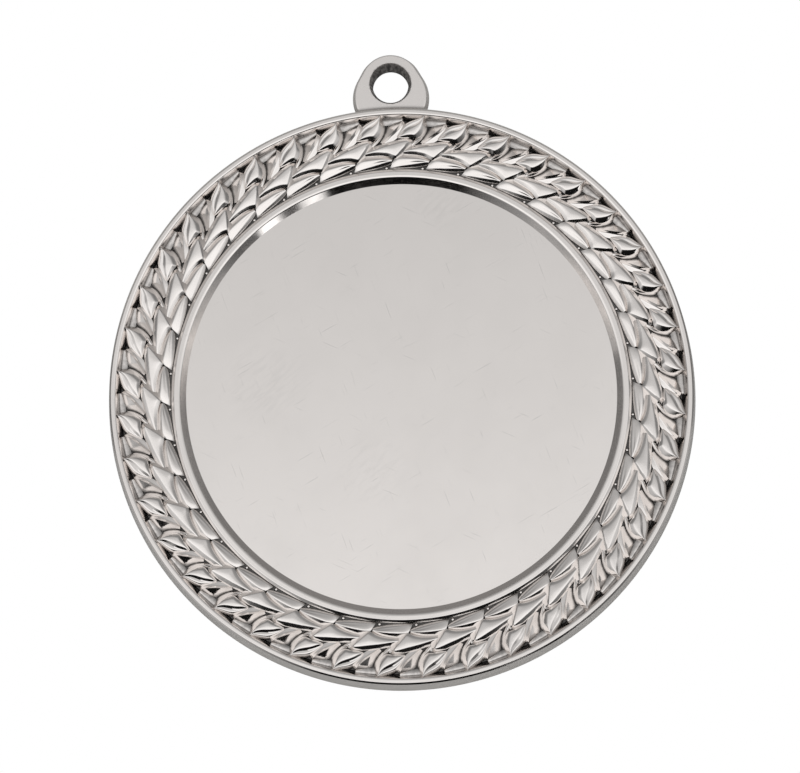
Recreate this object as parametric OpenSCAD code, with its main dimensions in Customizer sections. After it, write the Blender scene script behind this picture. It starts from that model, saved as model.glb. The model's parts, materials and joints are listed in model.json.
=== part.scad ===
// Round die-cast medal blank with a recess for a 50 mm insert, a laurel
// wreath border and a ribbon lug. Lies on its back, front face up (+Z),
// lug towards +Y. Origin at the centre of the back face. Millimetres.
// The real medal is one casting: each module is one feature of it, and
// neighbouring features meet face to face.

/* [Medal body] */
// Largest diameter, at the back of the drafted edge
medal_d = 70; // [66:0.5:76]
// Overall thickness, back face to top of the outer rim
medal_t = 4; // [3.8:0.1:5]
// How much smaller the front radius is than the back radius
edge_draft = 0.4; // [0.1:0.05:0.6]
// Rounding of the back edge
back_round = 0.3; // [0.1:0.05:0.5]
// Thickness of the plain plate at the back
plate_t = 1.5; // [1:0.1:1.8]

/* [Outer rim] */
// Width of the flat top of the rim
rim_w = 0.7; // [0.5:0.05:1]
// Horizontal run of the wall from the rim down to the wreath
rim_wall = 0.7; // [0.3:0.05:0.9]

/* [Insert recess] */
// Diameter of the recess floor, which takes a 50 mm insert
floor_d = 51.1; // [50.4:0.1:52]
// Height of the recess floor above the back face
floor_z = 2.55; // [2.2:0.05:2.7]
// Height of the inner ring's crest above the back face
ring_z = 3.4; // [3.1:0.05:3.7]
// Width of the inner ring's flat crest
ring_w = 0.6; // [0.4:0.05:0.8]
// Horizontal run of the bevel from the crest down to the floor
ring_bevel = 0.75; // [0.5:0.05:0.9]
// Horizontal run of the crest's outer flank
ring_flank = 0.35; // [0.2:0.05:0.5]

/* [Wreath] */
// Leaf groups round the wreath
leaf_groups = 40; // [36:1:44]
// Direction of the first outer leaf tip, clockwise from the lug
first_tip = 6.5; // [0:0.1:9]
// Height of the wreath's ground above the back face
bed_z = 2.8; // [2.4:0.05:3]
// Height of the tallest leaf above the ground
relief = 1.18; // [0.8:0.02:1.2]
// Diameter of the small berries next to the inner ring
berry_d = 0.44; // [0.3:0.02:0.5]

/* [Ribbon lug] */
// Thickness of the lug, flush with the back face
lug_t = 3; // [2:0.1:3.4]
// Distance of the lug's hole from the medal's centre
lug_y = 37.9; // [37.6:0.1:38.6]
// Radius of the lug's round top
lug_top_r = 3.85; // [3.2:0.05:4]
// Radius of the lug's shoulders
lug_side_r = 4.6; // [4:0.1:5]
// Distance of the shoulders' centre below the hole
lug_drop = 1.55; // [1.2:0.05:1.9]
// Radius of the hole's straight part
hole_r = 2.15; // [1.8:0.05:2.3]
// Radius of the hole at the front face
hole_mouth_r = 2.48; // [2.36:0.02:2.6]
// Depth of the hole's flared front
mouth_depth = 1; // [0.4:0.1:1.4]

/* [Hidden] */
$fn = 96;
METAL = "silver";
BRIGHT = "gainsboro";
SHADE = "darkgray";

back_r = medal_d / 2;
front_r = back_r - edge_draft;
rim_in = front_r - rim_w;
channel_out = rim_in - rim_wall;
floor_r = floor_d / 2;
crest_in = floor_r + ring_bevel;
crest_out = crest_in + ring_w;
channel_in = crest_out + ring_flank;
channel_w = channel_out - channel_in;
pitch = 360 / leaf_groups;
// How far a cutting shape runs past the face that it cuts
clear = 1;
// Gap between each berry and the inner ring, and its place in its leaf group
berry_gap = 0.02;
berry_place = 0.09;
shoulder_y = lug_y - lug_drop;
// Angle at which the lug's straight flanks touch both of its circles
tangent = acos((lug_side_r - lug_top_r) / lug_drop);

// Leaf outlines: [along, across], where along counts leaf groups clockwise
// from the outer tip and across runs from 0 at the inner ring to 1 at the
// rim. Each outline starts at the leaf's stem end and goes clockwise. The
// crown has the same points pulled in, with height as a part of the relief.
OUTER_FOOT = [[-0.6, 0.64], [-0.45, 0.81], [-0.3, 0.95], [0, 0.99],
    [0.16, 0.95], [0.17, 0.83], [0.05, 0.64], [-0.18, 0.6]];
OUTER_CROWN = [[-0.5, 0.66, 0.8], [-0.4, 0.82, 0.75], [-0.26, 0.95, 0.87],
    [0, 0.985, 0.96], [0.01, 0.95, 0.98], [-0.04, 0.87, 0.96],
    [-0.13, 0.71, 0.94], [-0.21, 0.65, 0.9]];
OUTER_RIDGE = [-0.17, 0.84, 0.98];

SECOND_FOOT = [[0.03, 0.53], [0.06, 0.68], [0.17, 0.9], [0.5, 0.99],
    [0.56, 0.9], [0.42, 0.69], [0.3, 0.57]];
SECOND_CROWN = [[0.05, 0.54, 0.4], [0.11, 0.68, 0.25], [0.22, 0.88, 0.25],
    [0.48, 0.97, 0.5], [0.53, 0.9, 0.6], [0.4, 0.71, 0.5],
    [0.27, 0.59, 0.5]];
SECOND_RIDGE = [0.33, 0.77, 0.72];

BACK_FOOT = [[0.19, 0.93], [0.22, 0.995], [0.54, 0.995], [0.51, 0.985]];
BACK_CROWN = [[0.22, 0.95, 0.35], [0.24, 0.985, 0.5], [0.52, 0.99, 0.5],
    [0.5, 0.985, 0.4]];
BACK_RIDGE = [0.38, 0.983, 0.5];

MIDDLE_FOOT = [[-0.38, 0.33], [-0.3, 0.45], [-0.1, 0.5], [0.3, 0.56],
    [0.68, 0.6], [0.76, 0.53], [0.37, 0.245], [0.1, 0.25], [-0.28, 0.305]];
MIDDLE_CROWN = [[-0.34, 0.35, 0.6], [-0.28, 0.39, 0.68],
    [-0.11, 0.415, 0.76], [0.31, 0.48, 0.86], [0.66, 0.56, 0.87],
    [0.7, 0.53, 0.8], [0.38, 0.28, 0.75], [0.1, 0.335, 0.8],
    [-0.26, 0.345, 0.68]];
MIDDLE_RIDGE = [0.42, 0.45, 0.88];

INNER_FOOT = [[-0.75, 0.03], [-0.66, 0.235], [-0.4, 0.27], [0, 0.25],
    [0.2, 0.21], [0.25, 0.14], [0, 0.065], [-0.4, 0.01]];
INNER_CROWN = [[-0.68, 0.06, 0.3], [-0.62, 0.2, 0.5], [-0.4, 0.215, 0.57],
    [0, 0.2, 0.57], [0.18, 0.185, 0.54], [0.2, 0.165, 0.52],
    [0, 0.12, 0.54], [-0.4, 0.05, 0.48]];
INNER_RIDGE = [-0.22, 0.16, 0.6];

// Radius of the drafted edge at height z
function edge_r(z) = back_r - edge_draft * z / medal_t;

// Point of the wreath: along in leaf groups, across from 0 to 1, height z
function wreath_point(along, across, z) =
    let (turn = first_tip + along * pitch, r = channel_in + across * channel_w)
    [r * sin(turn), r * cos(turn), z];

// One closed leaf on the wreath's ground, carried group steps round
module leaf(foot, crown, ridge, group) {
    n = len(foot);
    feet = [for (p = foot) wreath_point(p[0] + group, p[1], bed_z)];
    crowns = [for (p = crown)
        wreath_point(p[0] + group, p[1], bed_z + relief * p[2])];
    top = wreath_point(ridge[0] + group, ridge[1], bed_z + relief * ridge[2]);
    underside = [[for (i = [n - 1 : -1 : 0]) i]];
    lower_sides = [for (i = [0 : n - 1]) [i, (i + 1) % n, n + (i + 1) % n]];
    upper_sides = [for (i = [0 : n - 1]) [i, n + (i + 1) % n, n + i]];
    roof = [for (i = [0 : n - 1]) [n + i, n + (i + 1) % n, 2 * n]];
    polyhedron(
        points = concat(feet, crowns, [top]),
        faces = concat(underside, lower_sides, upper_sides, roof)
    );
}

// The same leaf in every leaf group
module leaf_ring(foot, crown, ridge) {
    for (group = [0 : leaf_groups - 1])
        leaf(foot, crown, ridge, group);
}

// Uncut lug: a round top, wider shoulders and the flanks that touch both
module lug_blank() {
    top_x = lug_top_r * sin(tangent);
    top_y = lug_y + lug_top_r * cos(tangent);
    side_x = lug_side_r * sin(tangent);
    side_y = shoulder_y + lug_side_r * cos(tangent);
    translate([0, lug_y, 0]) cylinder(h = lug_t, r = lug_top_r);
    translate([0, shoulder_y, 0]) cylinder(h = lug_t, r = lug_side_r);
    linear_extrude(height = lug_t)
        polygon([[-side_x, side_y], [-top_x, top_y], [top_x, top_y],
            [side_x, side_y]]);
}

// Solid round body of the medal, which the lug grows out of
module body_envelope() {
    rotate_extrude()
        polygon([[0, -clear], [back_r, -clear], [back_r, 0],
            [front_r, medal_t], [0, medal_t]]);
}

// Hole for the ribbon ring, flared towards the front face
module lug_hole() {
    rotate_extrude()
        polygon([[0, -clear], [hole_r, -clear],
            [hole_r, lug_t - mouth_depth], [hole_mouth_r, lug_t],
            [hole_mouth_r, lug_t + clear], [0, lug_t + clear]]);
}

// Plain plate that carries everything, with a rounded back edge
module back_plate() {
    round_x = edge_r(back_round) - back_round;
    color(METAL) rotate_extrude() {
        square([round_x, plate_t]);
        intersection() {
            translate([round_x, back_round]) circle(r = back_round);
            square([back_r, back_round]);
        }
        polygon([[round_x, back_round], [edge_r(back_round), back_round],
            [edge_r(plate_t), plate_t], [round_x, plate_t]]);
    }
}

// Polished flat floor that the insert is glued to
module recess_floor() {
    color(BRIGHT) translate([0, 0, plate_t])
        cylinder(h = floor_z - plate_t, r = floor_r);
}

// Raised ring between the recess and the wreath
module inner_ring() {
    color(METAL) rotate_extrude()
        polygon([[floor_r, plate_t], [channel_in, plate_t],
            [channel_in, bed_z], [crest_out, ring_z],
            [crest_in, ring_z], [floor_r, floor_z]]);
}

// Ground of the wreath, between the ring and the rim
module wreath_bed() {
    color(SHADE) rotate_extrude()
        translate([channel_in, plate_t])
            square([channel_w, bed_z - plate_t]);
}

// Raised outer rim with a flat top
module outer_rim() {
    color(METAL) rotate_extrude()
        polygon([[channel_out, plate_t], [edge_r(plate_t), plate_t],
            [front_r, medal_t], [rim_in, medal_t], [channel_out, bed_z]]);
}

// Large leaves whose tips touch the rim
module outer_leaves() {
    color(BRIGHT) leaf_ring(OUTER_FOOT, OUTER_CROWN, OUTER_RIDGE);
}

// Smaller leaves between the large ones
module second_leaves() {
    color(METAL) leaf_ring(SECOND_FOOT, SECOND_CROWN, SECOND_RIDGE);
}

// Low leaf tips that show along the rim behind the others
module back_leaves() {
    color(SHADE) leaf_ring(BACK_FOOT, BACK_CROWN, BACK_RIDGE);
}

// Broad overlapping leaves along the middle of the wreath
module middle_leaves() {
    color(BRIGHT) leaf_ring(MIDDLE_FOOT, MIDDLE_CROWN, MIDDLE_RIDGE);
}

// Narrow leaves end to end beside the inner ring
module inner_leaves() {
    color(METAL) leaf_ring(INNER_FOOT, INNER_CROWN, INNER_RIDGE);
}

// Small beads in the gaps between the inner leaves and the ring
module berries() {
    berry_r = berry_d / 2;
    color(BRIGHT)
    for (group = [0 : leaf_groups - 1])
        rotate([0, 0, -first_tip - (group + berry_place) * pitch])
            translate([0, channel_in + berry_gap + berry_r, bed_z])
                intersection() {
                    sphere(r = berry_r, $fn = 24);
                    cylinder(h = berry_r, r = berry_r);
                }
}

// Lug with the hole for the ribbon's ring
module ribbon_lug() {
    color(METAL) difference() {
        lug_blank();
        translate([0, lug_y, 0]) lug_hole();
        body_envelope();
    }
}

back_plate();
recess_floor();
inner_ring();
wreath_bed();
outer_rim();
outer_leaves();
second_leaves();
back_leaves();
middle_leaves();
inner_leaves();
berries();
ribbon_lug();
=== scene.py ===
import json
import math

import bpy
import numpy as np
from mathutils import Matrix, Vector


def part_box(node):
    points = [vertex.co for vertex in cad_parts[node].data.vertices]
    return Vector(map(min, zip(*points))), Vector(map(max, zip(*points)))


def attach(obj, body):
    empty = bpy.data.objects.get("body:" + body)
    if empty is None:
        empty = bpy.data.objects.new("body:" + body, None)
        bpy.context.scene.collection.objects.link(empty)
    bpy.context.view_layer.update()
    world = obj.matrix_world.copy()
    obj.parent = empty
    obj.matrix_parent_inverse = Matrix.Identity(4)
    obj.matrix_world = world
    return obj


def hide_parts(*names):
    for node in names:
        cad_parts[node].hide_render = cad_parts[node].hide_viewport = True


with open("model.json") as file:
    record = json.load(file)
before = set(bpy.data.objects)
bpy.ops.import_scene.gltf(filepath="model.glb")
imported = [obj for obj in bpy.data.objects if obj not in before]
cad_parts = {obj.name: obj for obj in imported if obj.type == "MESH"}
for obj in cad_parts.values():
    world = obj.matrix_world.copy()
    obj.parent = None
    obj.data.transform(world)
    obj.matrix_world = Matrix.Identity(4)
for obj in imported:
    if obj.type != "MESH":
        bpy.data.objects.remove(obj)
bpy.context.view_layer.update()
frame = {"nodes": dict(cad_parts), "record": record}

MM = 0.001
SHARP_ANGLE = math.radians(35)
BODY = "root"
SCENE = bpy.context.scene


# Sizes, in millimetres -------------------------------------------------------
def half_width(node):
    """Half of a round node's width."""
    low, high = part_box(node)
    return (high[0] - low[0]) / 2 / MM


def top_of(node):
    """Height of a node's top."""
    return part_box(node)[1][2] / MM


BACK_R = half_width("back_plate")
FLOOR_R = half_width("recess_floor")
CHANNEL_IN = half_width("inner_ring")
CHANNEL_OUT = half_width("wreath_bed")
PLATE_T = top_of("back_plate")
FLOOR_Z = top_of("recess_floor")
RING_Z = top_of("inner_ring")
BED_Z = top_of("wreath_bed")
RIM_Z = top_of("outer_rim")
LUG_T = top_of("ribbon_lug")
LUG_END_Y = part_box("ribbon_lug")[1][1] / MM
LUG_HALF_W = half_width("ribbon_lug")
LUG_MOUNT = next(m for m in frame["record"]["mounts"] if m["name"] == "lug_hole")
HOLE_Y = LUG_MOUNT["pos_m"][1] / MM
HOLE_R = LUG_MOUNT["dims"]["r_mm"]

# The disc's outer edge narrows by EDGE_DRAFT from the back to the front, and
# its rim has a small bevel outside. The inner ring rises over RING_BEVEL to a
# flat crest and falls by RING_FALL on its outer side.
EDGE_DRAFT = 0.4
BACK_ROUND = 0.3
RIM_W = 0.7
RIM_BEVEL_W = 0.23
RIM_BEVEL_H = 0.2
RIM_EDGE_ROUND = 0.08
RIM_IN_ROUND = 0.3
RING_BEVEL = 0.75
RING_W = 0.6
RING_FALL = 0.27
CREST_IN_ROUND = 0.4
CREST_OUT_ROUND = 0.12
FRONT_R = BACK_R - EDGE_DRAFT
RIM_IN = FRONT_R - RIM_W
CREST_IN = FLOOR_R + RING_BEVEL
CREST_OUT = CREST_IN + RING_W

# Farther than anything on the medal.
FAR = 99


# Meshes ----------------------------------------------------------------------
def make_piece(name, points, faces, node, slot, material):
    """A closed mesh, in millimetres, that stands for one CAD node."""
    mesh = bpy.data.meshes.new(name)
    mesh.from_pydata([tuple(c * MM for c in p) for p in points], [], faces)
    mesh.polygons.foreach_set("use_smooth", [True] * len(mesh.polygons))
    mesh.materials.append(material)
    mesh.update()
    mesh.set_sharp_from_angle(angle=SHARP_ANGLE)
    piece = bpy.data.objects.new(name, mesh)
    SCENE.collection.objects.link(piece)
    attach(piece, BODY)
    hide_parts(node)


def round_corners(corners, steps=5, support=0.02):
    """Points of an outline of (x, z, radius) corners, with each corner as an
    arc and a point just before and after it, so that flats shade flat."""
    points = []
    count = len(corners)
    for i, (x, z, radius) in enumerate(corners):
        here = Vector((x, z))
        before = Vector(corners[i - 1][:2]) - here
        after = Vector(corners[(i + 1) % count][:2]) - here
        if radius == 0:
            points.append(here)
            continue
        half = before.angle(after) / 2
        reach = radius / math.tan(half)
        centre = here + (before.normalized() + after.normalized()).normalized() * (
            radius / math.sin(half))
        start = here + before.normalized() * reach - centre
        end = here + after.normalized() * reach - centre
        turn = math.atan2(start.x * end.y - start.y * end.x, start.dot(end))
        points.append(here + before.normalized() * (reach + support))
        for k in range(steps + 1):
            a = turn * k / steps
            points.append(centre + Vector((
                start.x * math.cos(a) - start.y * math.sin(a),
                start.x * math.sin(a) + start.y * math.cos(a))))
        points.append(here + after.normalized() * (reach + support))
    return [(p.x, p.y) for p in points]


def faces_round(sections, n, closed=True):
    """Faces between neighbouring sections of n points, all the way round."""
    faces = []
    for k in range(sections):
        here, there = k * n, (k + 1) % sections * n
        for i in range(n if closed else n - 1):
            j = (i + 1) % n
            faces.append((here + i, here + j, there + j, there + i))
    return faces


def lathe(outline, sections=480):
    """Points and faces of an outline of (radius, height) turned about Z. The
    outline runs anticlockwise, and may start and end on the axis."""
    on_axis = outline[0][0] == 0
    ring = outline[1:-1] if on_axis else outline
    points = []
    for k in range(sections):
        a = math.tau * k / sections
        points += [(r * math.sin(a), r * math.cos(a), z) for r, z in ring]
    n = len(ring)
    faces = faces_round(sections, n, closed=not on_axis)
    if on_axis:
        for end, (_, z) in ((0, outline[0]), (n - 1, outline[-1])):
            points.append((0, 0, z))
            for k in range(sections):
                face = (k * n + end, (k + 1) % sections * n + end, len(points) - 1)
                faces.append(face if end == 0 else face[::-1])
    return points, faces


# Materials -------------------------------------------------------------------
class Graph:
    """Adds nodes to a tree and joins them."""

    def __init__(self, tree):
        self.tree = tree

    def node(self, kind, inputs=None, **settings):
        made = self.tree.nodes.new(kind)
        for name, value in settings.items():
            setattr(made, name, value)
        for key, value in (inputs or {}).items():
            if isinstance(value, bpy.types.NodeSocket):
                self.tree.links.new(value, made.inputs[key])
            else:
                made.inputs[key].default_value = value
        return made

    def maths(self, operation, *values):
        return self.node("ShaderNodeMath", dict(enumerate(values)), operation=operation).outputs[0]

    def ramp(self, source, stops):
        """Grey values that change straight from stop to stop."""
        first, last = stops[0][0], stops[-1][0]
        place = self.node("ShaderNodeMapRange", {
            "Value": source, "From Min": first, "From Max": last}).outputs[0]
        made = self.node("ShaderNodeValToRGB", {0: place})
        elements = made.color_ramp.elements
        for element, (_, value) in zip((elements[0], elements[1]), (stops[0], stops[-1])):
            element.color = (value, value, value, 1)
        for at, value in stops[1:-1]:
            element = elements.new((at - first) / (last - first))
            element.color = (value, value, value, 1)
        return made.outputs[0]


SILVER = (0.83, 0.793, 0.768)
GRAIN_ROUGHNESS = 0.04
SCRATCH_ROUGHNESS = 0.2
SCRATCH_DARKNESS = 0.3
SCRATCH_DEPTH = 0.5
SHADE_ROUGHNESS = 0.35
RUB_DARKNESS = 0.035


def noise(g, place, scale, detail=3.0, stretch=(1, 1, 1), turn=0.0):
    """Noise from 0 to 1. Scale is in features per millimetre, before the
    features are stretched along X, Y and Z and turned about Z."""
    placed = g.node("ShaderNodeMapping", {
        "Vector": place, "Scale": stretch, "Rotation": (0, 0, turn)}, vector_type="TEXTURE").outputs[0]
    return g.node("ShaderNodeTexNoise", {
        "Vector": placed, "Scale": scale, "Detail": detail}).outputs[0]


def scratches(g, place):
    """Thin straight scratches in three directions, 1 in a scratch."""
    marks = 0.0
    for turn, cut in ((0.5, 0.75), (1.9, 0.755), (2.7, 0.765)):
        lines = noise(g, place, 1.0, 1.0, (4.5, 0.11, 1.0), turn)
        marks = g.maths("MAXIMUM", marks, g.ramp(lines, ((0, 0), (cut, 0), (cut + 0.03, 1), (1, 1))))
    return marks


def distance_to(g, place, x, y):
    """Distance in millimetres, seen from above, from the point (x, y)."""
    away = g.node("ShaderNodeVectorMath", {0: place, 1: (x, y, 0)}, operation="SUBTRACT").outputs[0]
    flat = g.node("ShaderNodeVectorMath", {0: away, 1: (1, 1, 0)}, operation="MULTIPLY").outputs[0]
    return g.node("ShaderNodeVectorMath", {0: flat}, operation="LENGTH").outputs["Value"]


def plated_metal(name, smooth, rough, grain, relief, tone_drop, scratched=0.0, shade=None):
    """Plated metal: roughness goes from smooth to rough in soft patches, the
    colour drops by tone_drop in them, and the cast grain is grain features
    per millimetre and relief millimetres deep. shade(g, place) gives a grey
    that darkens parts of the piece and makes them rougher: real rub marks
    on the floor, painted shade on the other pieces that use it."""
    mat = bpy.data.materials.new(name)
    mat.use_nodes = True
    g = Graph(mat.node_tree)
    shader = mat.node_tree.nodes["Principled BSDF"]
    shader.inputs["Metallic"].default_value = 1
    metres = g.node("ShaderNodeTexCoord").outputs["Object"]
    place = g.node("ShaderNodeVectorMath", {0: metres, "Scale": 1 / MM}, operation="SCALE").outputs[0]

    patches = g.ramp(noise(g, place, 0.16, 5.0), ((0, 0), (0.42, 0), (0.68, 1), (1, 1)))
    fine = noise(g, place, grain, 4.0)
    marks = g.maths("MULTIPLY", scratches(g, place), scratched)
    tone = g.maths("SUBTRACT", 1, g.maths("MULTIPLY", patches, tone_drop))
    tone = g.maths("MULTIPLY", tone, g.maths("SUBTRACT", 1, g.maths("MULTIPLY", marks, SCRATCH_DARKNESS)))
    roughness = g.maths("ADD", smooth, g.maths("MULTIPLY", patches, rough - smooth))
    roughness = g.maths("ADD", roughness, g.maths("MULTIPLY", fine, GRAIN_ROUGHNESS))
    roughness = g.maths("ADD", roughness, g.maths("MULTIPLY", marks, SCRATCH_ROUGHNESS))
    if shade:
        # The grey darkens the colour: real rub marks on the floor, painted shade elsewhere.
        grey = shade(g, place)
        tone = g.maths("MULTIPLY", tone, grey)
        dull = g.maths("MULTIPLY", g.maths("SUBTRACT", 1, grey), SHADE_ROUGHNESS)
        roughness = g.maths("ADD", roughness, dull)
    height = g.maths("SUBTRACT", fine, g.maths("MULTIPLY", marks, SCRATCH_DEPTH))
    colour = g.node("ShaderNodeVectorMath", {0: SILVER, "Scale": tone}, operation="SCALE").outputs[0]
    bump = g.node("ShaderNodeBump", {
        "Height": height, "Strength": 1.0, "Distance": relief * MM}).outputs[0]
    for socket, value in (("Base Color", colour), ("Roughness", roughness), ("Normal", bump)):
        mat.node_tree.links.new(value, shader.inputs[socket])
    return mat


def rubbed(g, place):
    """Faint rub marks on the polished floor."""
    grey = 1.0
    for x, y, reach in RUBS:
        inside = g.ramp(distance_to(g, place, x, y), ((0, 1), (reach / 2, 0.8), (reach, 0), (FAR, 0)))
        streaks = noise(g, place, 0.9, 5.0, (1.6, 0.4, 1.0), 0.7)
        mark = g.maths("MULTIPLY", inside, g.ramp(streaks, ((0, 0), (0.45, 0), (0.62, 1), (1, 1))))
        kept = g.maths("SUBTRACT", 1, g.maths("MULTIPLY", mark, RUB_DARKNESS))
        grey = g.maths("MULTIPLY", grey, kept)
    return grey


def low_shade_and_dullness(g, place, reach=0.45):
    """Painted shade, with rougher unpolished metal, between the leaves: up to
    about reach millimetres above the wreath's ground."""
    height = g.node("ShaderNodeSeparateXYZ", {0: place}).outputs["Z"]
    uneven = g.maths("MULTIPLY", g.maths("SUBTRACT", noise(g, place, 2.2, 4.0), 0.5), 0.22)
    return g.ramp(g.maths("ADD", height, uneven), (
        (BED_Z - 0.5, 0.15), (BED_Z + 0.1, 0.17), (BED_Z + 0.6 * reach, 0.45), (BED_Z + reach, 1),
        (RIM_Z + 1, 1)))


def painted_wall_foot_shade(g, place):
    """The same painted shade and rougher metal at the foot of the rim's inner wall, none outside."""
    outside = g.ramp(distance_to(g, place, 0, 0), ((0, 0), (RIM_IN, 0), (RIM_IN + 0.1, 1), (FAR, 1)))
    return g.maths("MAXIMUM", low_shade_and_dullness(g, place, 0.75), outside)


def painted_hole_shade(g, place):
    """Painted shade inside the lug's hole, with lighter streaks along it."""
    streaks = g.ramp(noise(g, place, 3.0, 3.0, (1.0, 1.0, 5.0)), (
        (0, 0), (0.4, 0), (0.65, 0.4), (1, 0.4)))
    beside = g.ramp(distance_to(g, place, 0, HOLE_Y), (
        (0, 0), (HOLE_R + 0.12, 0), (HOLE_R + 0.3, 1), (FAR, 1)))
    return g.maths("MINIMUM", 1, g.maths("ADD", beside, streaks))


# Centre and reach of each rub mark, in millimetres.
RUBS = ((-16.0, 2.0, 6.0), (5.5, 22.5, 3.5), (-4.0, -9.0, 5.0))
FLOOR_METAL = plated_metal(
    "polished_floor", smooth=0.03, rough=0.09, grain=1.2, relief=0.00015, tone_drop=0.025,
    scratched=0.5, shade=rubbed)
# The rim gets painted shade at the foot of its inner wall.
RIM_METAL = plated_metal(
    "polished_rim", smooth=0.07, rough=0.16, grain=3.0, relief=0.001, tone_drop=0.04,
    scratched=0.5, shade=painted_wall_foot_shade)
RING_METAL = plated_metal(
    "polished_ring", smooth=0.07, rough=0.16, grain=3.0, relief=0.001, tone_drop=0.04,
    scratched=0.5)
# The leaves and the ground get painted shade low down between the leaves.
LEAF_METAL = plated_metal(
    "cast_leaf", smooth=0.07, rough=0.16, grain=2.6, relief=0.006, tone_drop=0.05,
    shade=low_shade_and_dullness)
GROUND_METAL = plated_metal(
    "cast_ground", smooth=0.2, rough=0.35, grain=4.0, relief=0.03, tone_drop=0.2,
    shade=low_shade_and_dullness)
# The lug gets painted shade inside its hole.
LUG_METAL = plated_metal(
    "satin_lug", smooth=0.2, rough=0.32, grain=3.5, relief=0.002, tone_drop=0.05,
    scratched=0.4, shade=painted_hole_shade)
BACK_METAL = plated_metal(
    "satin_back", smooth=0.16, rough=0.28, grain=2.5, relief=0.002, tone_drop=0.06,
    scratched=0.6)
BERRY_METAL = plated_metal(
    "polished_berry", smooth=0.07, rough=0.16, grain=2.6, relief=0.003, tone_drop=0.04)

# The berries are the only CAD node that stays visible.
for node_object in frame["nodes"].values():
    node_object.data.materials.clear()
    node_object.data.materials.append(BERRY_METAL)


# Turned pieces ---------------------------------------------------------------
# Extra rings of points, so that the wide flats shade flat: how far out on the
# back, and how far in from the recess floor's edge.
BACK_MIDDLE = 12
FLOOR_EDGE = 0.1


def edge_r(z):
    """Radius of the drafted edge at height z."""
    return BACK_R - EDGE_DRAFT * z / RIM_Z


def add_back_plate():
    outline = round_corners([
        (0, 0, 0), (BACK_MIDDLE, 0, 0), (edge_r(0), 0, BACK_ROUND),
        (edge_r(PLATE_T), PLATE_T, 0), (BACK_MIDDLE, PLATE_T, 0), (0, PLATE_T, 0)])
    make_piece("back_plate_turned", *lathe(outline), "back_plate", "plated_back", BACK_METAL)


def add_recess_floor():
    outline = [(0, PLATE_T), (FLOOR_R, PLATE_T), (FLOOR_R, FLOOR_Z),
               (FLOOR_R - FLOOR_EDGE, FLOOR_Z), (0, FLOOR_Z)]
    make_piece("recess_floor_polished", *lathe(outline), "recess_floor", "mirror_floor", FLOOR_METAL)


def add_inner_ring():
    outline = round_corners([
        (FLOOR_R, PLATE_T, 0), (CHANNEL_IN, PLATE_T, 0), (CHANNEL_IN, RING_Z - RING_FALL, 0),
        (CREST_OUT, RING_Z, CREST_OUT_ROUND), (CREST_IN, RING_Z, CREST_IN_ROUND),
        (FLOOR_R, FLOOR_Z, 0)])
    make_piece("inner_ring_turned", *lathe(outline), "inner_ring", "polished_rims", RING_METAL)


def add_outer_rim():
    outline = round_corners([
        (CHANNEL_OUT, PLATE_T, 0), (edge_r(PLATE_T), PLATE_T, 0),
        (FRONT_R, RIM_Z - RIM_BEVEL_H, RIM_EDGE_ROUND), (FRONT_R - RIM_BEVEL_W, RIM_Z, RIM_EDGE_ROUND),
        (RIM_IN, RIM_Z, RIM_IN_ROUND), (CHANNEL_OUT, BED_Z, 0)])
    make_piece("outer_rim_turned", *lathe(outline), "outer_rim", "polished_rims", RIM_METAL)


def add_wreath_bed():
    outline = [(CHANNEL_IN, PLATE_T), (CHANNEL_OUT, PLATE_T), (CHANNEL_OUT, BED_Z), (CHANNEL_IN, BED_Z)]
    make_piece("wreath_bed_cast", *lathe(outline), "wreath_bed", "wreath_ground", GROUND_METAL)


add_back_plate()
add_recess_floor()
add_inner_ring()
add_outer_rim()
add_wreath_bed()


# Ribbon lug ------------------------------------------------------------------
# The outline is a round top about the hole and round shoulders about a point
# LUG_DROP below it, with straight flanks between them, and it ends inside the
# disc at ROOT_Y.
LUG_TOP_R = LUG_END_Y - HOLE_Y
LUG_DROP = 1.55
ROOT_Y = 33.6
SIDE_DRAFT = 0.3
MOUTH_R = 2.48
MOUTH_DEPTH = 1.0
ROOT_FILLET = 0.45
LUG_SECTIONS = 288
FACE_STEPS = 20


def lug_reach(angle):
    """Distance from the hole's centre to the lug's outline, at an angle
    clockwise from +Y."""
    across, up = abs(math.sin(angle)), math.cos(angle)
    flank_angle = math.acos((LUG_HALF_W - LUG_TOP_R) / LUG_DROP)
    if math.atan2(across, up) < flank_angle:
        return LUG_TOP_R
    flank_x, flank_y = math.sin(flank_angle), math.cos(flank_angle)
    facing = across * flank_x + up * flank_y
    reach = LUG_TOP_R / facing if facing > 0 else FAR
    if facing <= 0 or (up * reach + LUG_DROP) * flank_x < across * reach * flank_y:
        drop = -LUG_DROP * up
        reach = drop + math.sqrt(drop ** 2 - LUG_DROP ** 2 + LUG_HALF_W ** 2)
    return min(reach, (HOLE_Y - ROOT_Y) / -up) if up < 0 else reach


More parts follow.
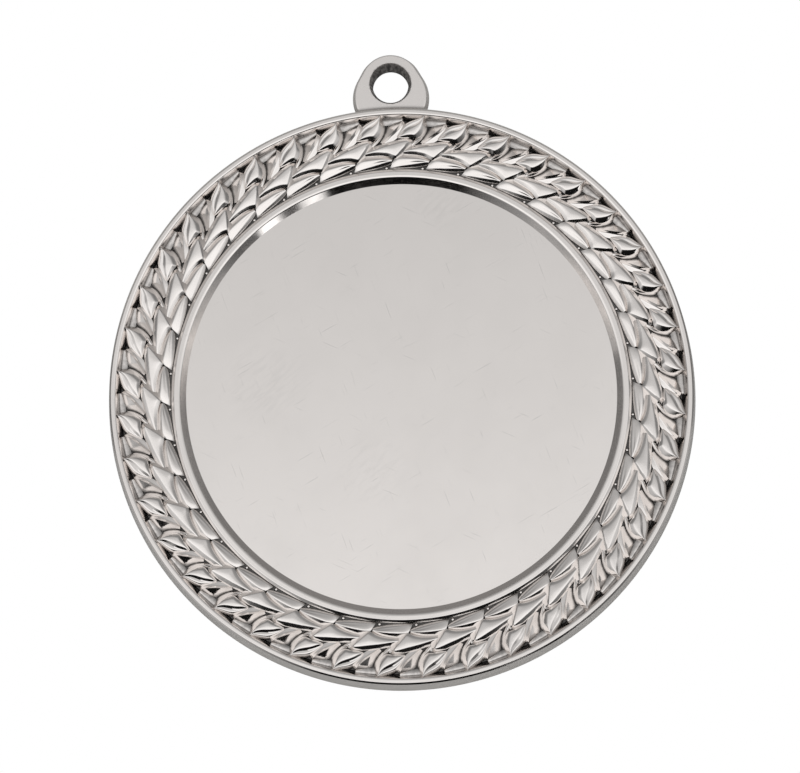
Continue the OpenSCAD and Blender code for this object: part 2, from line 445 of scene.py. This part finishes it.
def add_ribbon_lug():
    """The lug as a ring of sections round its hole: the hole's front is
    flared, the outer side is drafted both ways from the middle line, and a
    fillet rises to the disc's edge. A section runs up the hole's wall, out
    over the face and down the outer side."""
    hole_side = [(HOLE_R + 0.03, 0), (HOLE_R, 0.03), (HOLE_R, LUG_T - MOUTH_DEPTH),
                 (HOLE_R + 0.12, LUG_T - 0.6 * MOUTH_DEPTH), (MOUTH_R - 0.05, LUG_T - 0.14),
                 (MOUTH_R - 0.01, LUG_T - 0.05), (MOUTH_R + 0.06, LUG_T)]
    points = []
    for k in range(LUG_SECTIONS):
        a = math.tau * k / LUG_SECTIONS
        reach = lug_reach(a)
        inner_r, outer_r = MOUTH_R + 0.1, reach - SIDE_DRAFT - 0.16
        face = [(inner_r + (outer_r - inner_r) * i / FACE_STEPS, LUG_T)
                for i in range(FACE_STEPS + 1)]
        side = [(reach - SIDE_DRAFT - 0.1, LUG_T - 0.01), (reach - SIDE_DRAFT - 0.03, LUG_T - 0.06),
                (reach - SIDE_DRAFT, LUG_T - 0.16), (reach - 0.03, LUG_T / 2 + 0.1),
                (reach, LUG_T / 2), (reach - 0.03, LUG_T / 2 - 0.1),
                (reach - SIDE_DRAFT, 0.12), (reach - SIDE_DRAFT - 0.12, 0)]
        section = hole_side + face + side
        for r, z in section:
            x, y = r * math.sin(a), HOLE_Y + r * math.cos(a)
            if z > LUG_T - 0.02:
                gap = math.hypot(x, y) - edge_r(LUG_T)
                short = max(0.0, ROOT_FILLET - max(gap, 0.0))
                z += ROOT_FILLET - math.sqrt(max(ROOT_FILLET ** 2 - short ** 2, 0))
            points.append((x, y, z))
    # A section runs clockwise, unlike a lathe's outline, so the faces turn over.
    faces = [(p, s, r, q) for p, q, r, s in faces_round(LUG_SECTIONS, len(section))]
    make_piece("ribbon_lug_cast", points, faces, "ribbon_lug", "plated_lug", LUG_METAL)


add_ribbon_lug()


# Wreath ----------------------------------------------------------------------
# A leaf is a cage of rows from its stem to its tip. Each row goes across the
# leaf, from its foot on the rim side to its foot on the ring side, in points of
#   degrees clockwise from the outer leaf's tip,
#   millimetres outwards from the inner ring,
#   millimetres above the wreath's ground.
# The numbers after the rows say how sharp each line along the leaf is, and how
# sharp each line across it is: 0 is round and 1 is a crease.
# FIRST_TIP is the turn from +Y to the first outer leaf's tip, and ROOT is how
# far below the ground's top the cages end.
FIRST_TIP = 6.5
ROOT = -0.3
LEAF_GROUPS = 40
PITCH = 360 / LEAF_GROUPS
SMOOTH_LEVEL = 2

# A low border on the rim side, a step up to the middle, and a steep flank on
# the ring side.
OUTER_LEAF = (
    (
        ((-5.5, 3.95, 0.5), (-5.45, 3.93, 0.6), (-5.4, 3.90, 0.65), (-5.4, 3.88, 0.7),
         (-5.35, 3.86, 0.75), (-5.3, 3.84, 0.72), (-5.3, 3.80, 0.68), (-5.25, 3.74, 0.6)),
        ((-5.15, 4.56, 0.4), (-5.0, 4.46, 0.55), (-4.85, 4.36, 0.7), (-4.75, 4.27, 0.7),
         (-4.45, 4.08, 0.92), (-4.35, 4.03, 0.97), (-4.3, 3.98, 0.96), (-4.2, 3.68, 0.7)),
        ((-4.6, 5.10, 0.38), (-4.42, 4.98, 0.6), (-4.2, 4.82, 0.8), (-4.0, 4.68, 0.8),
         (-3.5, 4.45, 1.06), (-3.3, 4.30, 1.1), (-3.15, 4.15, 1.08), (-3.0, 3.74, 0.74)),
        ((-3.95, 5.60, 0.35), (-3.75, 5.45, 0.66), (-3.45, 5.25, 0.88), (-3.12, 5.03, 0.85),
         (-2.6, 4.74, 1.13), (-2.45, 4.45, 1.16), (-2.25, 4.18, 1.1), (-2.0, 3.74, 0.72)),
        ((-3.3, 5.88, 0.35), (-3.1, 5.72, 0.68), (-2.8, 5.50, 0.92), (-2.45, 5.22, 0.87),
         (-2.0, 4.92, 1.15), (-1.9, 4.55, 1.17), (-1.75, 4.12, 1.1), (-1.3, 3.68, 0.72)),
        ((-2.5, 6.05, 0.38), (-2.3, 5.90, 0.74), (-2.05, 5.70, 0.96), (-1.72, 5.42, 0.9),
         (-1.38, 5.15, 1.16), (-1.35, 4.82, 1.18), (-1.25, 4.42, 1.12), (-0.35, 3.98, 0.52)),
        ((-1.65, 6.18, 0.4), (-1.48, 6.05, 0.8), (-1.27, 5.87, 0.99), (-1.03, 5.64, 0.94),
         (-0.78, 5.42, 1.16), (-0.75, 5.17, 1.18), (-0.7, 4.82, 1.12), (0.45, 4.42, 0.46)),
        ((-0.86, 6.32, 0.5), (-0.72, 6.20, 0.88), (-0.58, 6.06, 1.03), (-0.46, 5.92, 1.0),
         (-0.3, 5.74, 1.16), (-0.28, 5.52, 1.18), (-0.22, 5.27, 1.12), (0.95, 5.05, 0.4)),
        ((-0.2, 6.42, 0.75), (-0.12, 6.34, 1.0), (-0.1, 6.26, 1.08), (-0.06, 6.2, 1.07),
         (0.0, 6.10, 1.15), (0.0, 5.95, 1.17), (0.05, 5.80, 1.1), (0.95, 5.70, 0.4)),
        ((0.1, 6.56, 0.9), (0.12, 6.53, 1.02), (0.13, 6.51, 1.08), (0.14, 6.50, 1.1),
         (0.15, 6.48, 1.13), (0.18, 6.45, 1.13), (0.2, 6.42, 1.1), (0.5, 6.38, 0.7)),
    ),
    (0.6, 0.7, 0.3, 0.8, 0.8, 0, 0.9, 0.6),
    (1, 0, 0, 0, 0, 0, 0, 0, 0, 1),
)

# A roof with one sharp ridge, between two outer leaves.
SECOND_LEAF = (
    (
        ((-0.2, 3.35, 0.4), (0.0, 3.27, 0.5), (0.1, 3.22, 0.62), (0.25, 3.12, 0.45), (0.4, 3.02, 0.36)),
        ((0.45, 3.98, 0.2), (0.75, 3.82, 0.46), (1.05, 3.65, 0.74), (1.3, 3.47, 0.5), (1.6, 3.20, 0.42)),
        ((0.95, 4.72, 0.12), (1.5, 4.43, 0.48), (2.0, 4.15, 0.86), (2.3, 3.93, 0.58), (2.9, 3.45, 0.46)),
        ((1.3, 5.35, 0.1), (2.15, 5.00, 0.5), (3.0, 4.63, 0.95), (3.35, 4.38, 0.64), (3.9, 3.95, 0.48)),
        ((2.4, 5.65, 0.2), (3.2, 5.42, 0.6), (3.9, 5.15, 1.0), (4.25, 4.93, 0.7), (4.8, 4.62, 0.5)),
        ((3.8, 5.85, 0.35), (4.1, 5.72, 0.68), (4.4, 5.55, 1.0), (4.75, 5.38, 0.7), (5.2, 5.25, 0.5)),
        ((4.65, 6.00, 0.4), (4.7, 5.92, 0.68), (4.75, 5.85, 0.9), (4.95, 5.75, 0.66), (5.2, 5.70, 0.45)),
    ),
    (0.6, 0.2, 1, 0.5, 0.6),
    (1, 0, 0, 0, 0, 0, 1),
)

# A thin stalk between the outer and the second leaf.
STEM = (
    (
        ((-2.3, 3.10, 0.45), (-2.15, 2.98, 0.52), (-1.95, 2.85, 0.45)),
        ((-1.95, 3.45, 0.42), (-1.6, 3.25, 0.6), (-1.2, 3.02, 0.38)),
        ((-0.9, 4.00, 0.38), (-0.5, 3.80, 0.6), (0.0, 3.58, 0.3)),
        ((0.25, 4.62, 0.3), (0.55, 4.50, 0.5), (0.9, 4.35, 0.2)),
        ((0.75, 5.20, 0.28), (0.95, 5.10, 0.45), (1.25, 5.00, 0.2)),
        ((0.75, 5.60, 0.28), (0.85, 5.58, 0.4), (1.0, 5.55, 0.25)),
    ),
    (0.4, 0.6, 0.4),
    (1, 0, 0, 0, 0, 1),
)

# A low leaf that lies along the rim.
BACK_LEAF = (
    (
        ((0.65, 6.25, 0.24), (0.7, 5.92, 0.4), (0.8, 5.40, 0.22)),
        ((2.0, 6.28, 0.26), (2.0, 5.95, 0.43), (2.0, 5.42, 0.24)),
        ((3.4, 6.30, 0.28), (3.4, 6.02, 0.46), (3.4, 5.50, 0.26)),
        ((4.7, 6.32, 0.3), (4.7, 6.08, 0.48), (4.7, 5.68, 0.28)),
        ((4.95, 6.32, 0.2), (4.93, 6.08, 0.25), (4.95, 5.68, 0.2)),
    ),
    (0.5, 0, 0.6),
    (1, 0, 0, 0.8, 1),
)

# A broad top that widens to a blunt slanting end.
MIDDLE_LEAF = (
    (
        ((-4.2, 2.50, 0.35), (-4.1, 2.20, 0.6), (-4.1, 2.15, 0.63), (-4.1, 2.10, 0.63),
         (-4.1, 2.05, 0.6), (-4.1, 1.76, 0.38)),
        ((-2.8, 2.82, 0.4), (-2.6, 2.30, 0.78), (-2.5, 2.25, 0.8), (-2.5, 2.18, 0.8),
         (-2.5, 2.10, 0.74), (-2.5, 1.70, 0.46)),
        ((-1.2, 2.99, 0.46), (-1.0, 2.46, 0.88), (-1.0, 2.36, 0.89), (-1.0, 2.26, 0.88),
         (-1.0, 2.16, 0.83), (-1.0, 1.72, 0.52)),
        ((0.8, 3.22, 0.54), (1.0, 2.68, 0.96), (1.0, 2.50, 0.97), (1.0, 2.27, 0.95),
         (1.0, 2.05, 0.88), (1.0, 1.58, 0.56)),
        ((2.7, 3.44, 0.58), (3.0, 2.90, 1.0), (2.7, 2.62, 1.04), (2.4, 2.20, 1.03),
         (2.1, 1.88, 0.9), (1.9, 1.42, 0.58)),
        ((4.3, 3.64, 0.62), (4.6, 3.13, 1.02), (4.0, 2.75, 1.06), (3.3, 2.15, 1.03),
         (2.8, 1.70, 0.92), (2.5, 1.30, 0.58)),
        ((5.8, 3.76, 0.6), (6.05, 3.30, 1.0), (5.3, 2.78, 1.03), (4.2, 2.12, 0.98),
         (3.25, 1.60, 0.88), (2.9, 1.25, 0.58)),
        ((6.5, 3.68, 0.5), (6.5, 3.22, 0.76), (5.82, 2.70, 0.76), (4.72, 2.02, 0.72),
         (3.72, 1.48, 0.66), (3.35, 1.20, 0.5)),
        ((7.1, 3.52, 0.4), (7.1, 3.08, 0.42), (6.45, 2.56, 0.4), (5.35, 1.90, 0.38),
         (4.3, 1.38, 0.38), (3.85, 1.18, 0.36)),
    ),
    (0.6, 0.9, 0, 0, 0.8, 0.6),
    (1, 0, 0, 0, 0, 0, 0.9, 0.2, 1),
)

# A narrow leaf along the inner ring, with a flank on each side.
INNER_LEAF = (
    (
        ((-6.0, 1.62, 0.3), (-6.2, 1.20, 0.5), (-6.5, 0.95, 0.5), (-6.9, 0.55, 0.42),
         (-7.3, 0.2, 0.25), (-7.4, 0.03, 0.1)),
        ((-5.2, 1.78, 0.3), (-5.3, 1.22, 0.76), (-5.6, 0.95, 0.73), (-5.8, 0.55, 0.58),
         (-6.2, 0.28, 0.45), (-6.3, 0.05, 0.25)),
        ((-3.9, 1.86, 0.34), (-4.0, 1.2, 0.86), (-4.0, 0.95, 0.84), (-4.1, 0.60, 0.66),
         (-4.4, 0.38, 0.54), (-4.4, 0.08, 0.3)),
        ((-2.0, 1.86, 0.34), (-2.0, 1.2, 0.87), (-2.0, 1.00, 0.86), (-2.1, 0.78, 0.7),
         (-2.3, 0.54, 0.62), (-2.2, 0.15, 0.3)),
        ((0.0, 1.8, 0.34), (0.0, 1.2, 0.85), (0.0, 1.06, 0.84), (-0.1, 0.92, 0.7),
         (-0.3, 0.74, 0.64), (-0.1, 0.33, 0.3)),
        ((1.3, 1.58, 0.34), (1.3, 1.16, 0.72), (1.3, 1.09, 0.73), (1.3, 1.00, 0.67),
         (1.25, 0.90, 0.62), (1.4, 0.55, 0.32)),
        ((2.5, 1.30, 0.34), (2.25, 1.12, 0.56), (2.25, 1.08, 0.58), (2.25, 1.03, 0.58),
         (2.3, 0.97, 0.54), (2.55, 0.78, 0.34)),
    ),
    (0.6, 0.8, 0, 0, 0.7, 0.6),
    (1, 0, 0, 0, 0, 0, 1),
)


def wreath_point(turn, out, height):
    """A point of the wreath, in millimetres."""
    a = math.radians(FIRST_TIP + turn)
    r = CHANNEL_IN + out
    return Vector((r * math.sin(a), r * math.cos(a), BED_Z + height))


def smooth_cage(cage):
    """Points and faces of one leaf: the cage rooted in the ground and closed
    underneath and at both ends, then subdivided with its creases."""
    surface_rows, along_creases, across_creases = cage
    along_creases = (1, *along_creases, 1)
    rows = [((*row[0][:2], ROOT), *row, (*row[-1][:2], ROOT)) for row in surface_rows]
    m, n = len(rows), len(rows[0])
    points = [wreath_point(*p) for row in rows for p in row]
    faces = [tuple(range(n - 1, -1, -1)), tuple((m - 1) * n + j for j in range(n))]
    for i in range(m - 1):
        here, there = i * n, (i + 1) * n
        faces += [(here + j, here + j + 1, there + j + 1, there + j) for j in range(n - 1)]
        faces.append((here, there, there + n - 1, here + n - 1))
    mesh = bpy.data.meshes.new("cage")
    mesh.from_pydata(points, [], faces)
    crease = mesh.attributes.new("crease_edge", "FLOAT", "EDGE")
    for edge in mesh.edges:
        a, b = edge.vertices
        same_row = a // n == b // n
        crease.data[edge.index].value = across_creases[a // n] if same_row else along_creases[a % n]
    cage_object = bpy.data.objects.new("cage", mesh)
    SCENE.collection.objects.link(cage_object)
    subdivide = cage_object.modifiers.new("smooth", "SUBSURF")
    subdivide.levels = SMOOTH_LEVEL
    smooth = cage_object.evaluated_get(bpy.context.evaluated_depsgraph_get()).to_mesh()
    points = np.empty(len(smooth.vertices) * 3)
    smooth.vertices.foreach_get("co", points)
    faces = np.empty(len(smooth.loops), int)
    smooth.loops.foreach_get("vertex_index", faces)
    cage_object.to_mesh_clear()
    bpy.data.objects.remove(cage_object)
    bpy.data.meshes.remove(mesh)
    return points.reshape(-1, 3), faces.reshape(-1, 4)


def add_leaves(name, node, *cages):
    """Every leaf group's copies of the cages, as one piece."""
    all_points, all_faces, count = [], [], 0
    for cage in cages:
        points, faces = smooth_cage(cage)
        for group in range(LEAF_GROUPS):
            a = -math.radians(PITCH * group)
            turn = np.array(((math.cos(a), math.sin(a), 0), (-math.sin(a), math.cos(a), 0), (0, 0, 1)))
            all_points.append(points @ turn)
            all_faces.append(faces + count)
            count += len(points)
    make_piece(name, np.concatenate(all_points), np.concatenate(all_faces).tolist(),
               node, "wreath_leaves", LEAF_METAL)


add_leaves("outer_leaves_relief", "outer_leaves", OUTER_LEAF)
add_leaves("second_leaves_relief", "second_leaves", SECOND_LEAF, STEM)
add_leaves("back_leaves_relief", "back_leaves", BACK_LEAF)
add_leaves("middle_leaves_relief", "middle_leaves", MIDDLE_LEAF)
add_leaves("inner_leaves_relief", "inner_leaves", INNER_LEAF)


# Camera ----------------------------------------------------------------------
# The distance and the point aimed at are in millimetres of the scene, and the
# sensor and the lens in millimetres of the camera.
CAM_AZIMUTH = math.radians(5.5)
CAM_ELEVATION = math.radians(80.0)
CAM_ROLL = math.radians(-7.6)
CAM_DISTANCE = 420.0
CAM_AIM = Vector((-0.10, 0.71, 4.0))
SENSOR_W = 36
LENS = 159.975


def add_camera():
    """A camera almost straight above the medal, rolled a little."""
    back = Vector((
        math.sin(CAM_AZIMUTH) * math.cos(CAM_ELEVATION),
        -math.cos(CAM_AZIMUTH) * math.cos(CAM_ELEVATION),
        math.sin(CAM_ELEVATION),
    ))
    right = Vector((math.cos(CAM_AZIMUTH), math.sin(CAM_AZIMUTH), 0))
    up = back.cross(right)
    x_axis = math.cos(CAM_ROLL) * right + math.sin(CAM_ROLL) * up
    y_axis = -math.sin(CAM_ROLL) * right + math.cos(CAM_ROLL) * up
    data = bpy.data.cameras.new("camera")
    data.sensor_width = SENSOR_W
    data.lens = LENS
    data.clip_start = 0.01
    data.clip_end = 10
    camera = bpy.data.objects.new("camera", data)
    SCENE.collection.objects.link(camera)
    turn = Matrix((x_axis, y_axis, back)).transposed().to_4x4()
    camera.matrix_world = Matrix.Translation((CAM_AIM + back * CAM_DISTANCE) * MM) @ turn
    SCENE.camera = camera


add_camera()


# Light -----------------------------------------------------------------------
# Pairs of a place and a value there. Tilt is in degrees from straight up
# towards -Y, height and side are the direction's z and x, and nearness is the
# cosine of the angle to a lamp.
TENT_BY_TILT = (
    (-180, 0.3), (-95, 0.7), (-75, 0.52), (-45, 0.48), (-25, 0.60), (-13, 0.70), (-10, 0.78),
    (-7, 0.88), (0, 0.98), (12, 1.08), (25, 1.15), (50, 1.12), (95, 1.05), (180, 0.3))
TENT_BY_HEIGHT = ((-1, 0.3), (0, 0.28), (0.1, 0.38), (0.25, 0.55), (0.5, 0.85), (0.7, 1), (1, 1))
OPENING_BY_TILT = ((-180, 0), (46, 0), (53, 0.99), (170, 0.99), (180, 0))
OPENING_BY_SIDE = (
    (-1, 0), (-0.75, 0), (-0.55, 0.5), (-0.38, 1), (0.55, 1), (0.8, 0.7), (0.92, 0.2), (1, 0))
LAMPS = ((0.64, -0.76, 0.085), (0.42, -0.90, 0.10))
LAMP_BY_NEARNESS = ((0.99, 0), (0.996, 0), (0.999, 1.6), (1, 1.6))


def add_world():
    """A white tent round the medal, darker towards the back and low down,
    with a dark opening low on the camera's side and two small lamps."""
    world = bpy.data.worlds.new("studio")
    world.use_nodes = True
    SCENE.world = world
    g = Graph(world.node_tree)
    direction = g.node("ShaderNodeTexCoord").outputs["Generated"]
    x, y, z = g.node("ShaderNodeSeparateXYZ", {0: direction}).outputs
    tilt = g.maths("MULTIPLY", g.maths("ARCTAN2", g.maths("MULTIPLY", y, -1), z), math.degrees(1))
    tent = g.maths("MULTIPLY", g.ramp(tilt, TENT_BY_TILT), g.ramp(z, TENT_BY_HEIGHT))
    opening = g.maths("MULTIPLY", g.ramp(tilt, OPENING_BY_TILT), g.ramp(x, OPENING_BY_SIDE))
    light = g.maths("MULTIPLY", tent, g.maths("SUBTRACT", 1, opening))
    for lamp in LAMPS:
        nearness = g.node("ShaderNodeVectorMath", {0: direction, 1: Vector(lamp).normalized()},
                          operation="DOT_PRODUCT").outputs["Value"]
        light = g.maths("ADD", light, g.ramp(nearness, LAMP_BY_NEARNESS))
    background = world.node_tree.nodes["Background"]
    world.node_tree.links.new(light, background.inputs["Color"])


add_world()


# Floor -----------------------------------------------------------------------
# The half width is in metres, and the gap under the medal in millimetres.
FLOOR_HALF_M = 3.0
FLOOR_GAP = 0.02
FLOOR_GREY = (0.55, 0.55, 0.54, 1)


def add_floor():
    """A pale floor, pure white to the camera and grey in reflections."""
    h = FLOOR_HALF_M
    mesh = bpy.data.meshes.new("floor")
    mesh.from_pydata([(-h, -h, 0), (h, -h, 0), (h, h, 0), (-h, h, 0)], [], [(0, 1, 2, 3)])
    floor = bpy.data.objects.new("floor", mesh)
    floor.location.z = -FLOOR_GAP * MM
    SCENE.collection.objects.link(floor)
    material = bpy.data.materials.new("floor")
    material.use_nodes = True
    g = Graph(material.node_tree)
    paper = material.node_tree.nodes["Principled BSDF"]
    paper.inputs["Base Color"].default_value = FLOOR_GREY
    paper.inputs["Roughness"].default_value = 0.9
    paper.inputs["Specular IOR Level"].default_value = 0.1
    white = g.node("ShaderNodeEmission", {"Color": (1, 1, 1, 1), "Strength": 1.0}).outputs[0]
    seen = g.node("ShaderNodeLightPath").outputs["Is Camera Ray"]
    both = g.node("ShaderNodeMixShader", {0: seen, 1: paper.outputs[0], 2: white}).outputs[0]
    material.node_tree.links.new(both, material.node_tree.nodes["Material Output"].inputs["Surface"])
    mesh.materials.append(material)


add_floor()
SCENE.view_settings.view_transform = "Standard"
